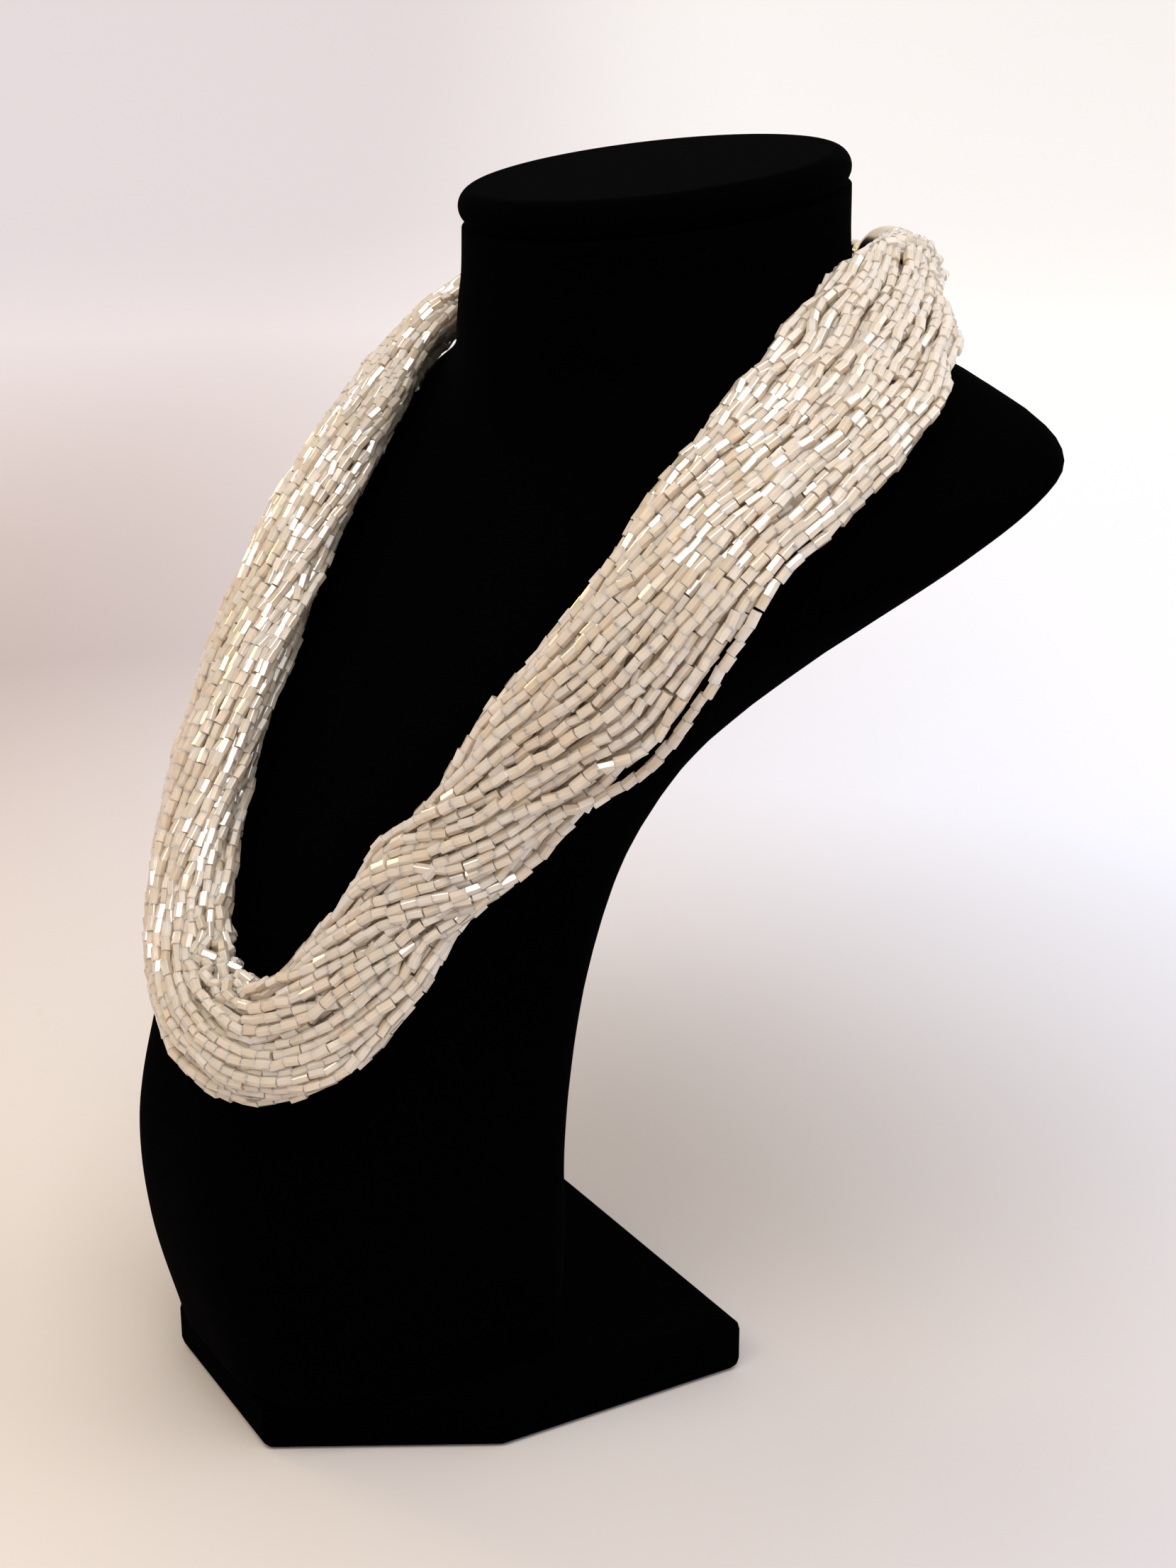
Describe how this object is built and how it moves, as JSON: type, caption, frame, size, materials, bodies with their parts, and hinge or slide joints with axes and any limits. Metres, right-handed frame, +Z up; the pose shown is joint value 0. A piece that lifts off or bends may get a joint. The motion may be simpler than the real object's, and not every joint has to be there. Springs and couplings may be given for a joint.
{
  "type": "multi strand bead necklace on a neck bust display stand",
  "caption": "Multi strand necklace of small glass beads gathered in domed end caps with a barrel clasp, hanging on a velvet covered neck bust.",
  "frame": {"origin": "on the underside of the foot slab, between its left and right sides and halfway from its front to its back", "axes": "+Z up, the bust faces -Y, the wearer's left is +X"},
  "size_m": [0.21, 0.1702, 0.26],
  "materials": {
    "velvet": "black velvet pile",
    "beads": "milky champagne glass with bright facets",
    "metal": "polished pale gold"
  },
  "bodies": {
    "root": {"foot_slab": "velvet", "bust_body": "velvet", "neck_cap": "velvet", "strand_bundle": "beads", "end_cap_left": "metal", "end_cap_right": "metal", "clasp": "metal"}
  },
  "joints": []
}
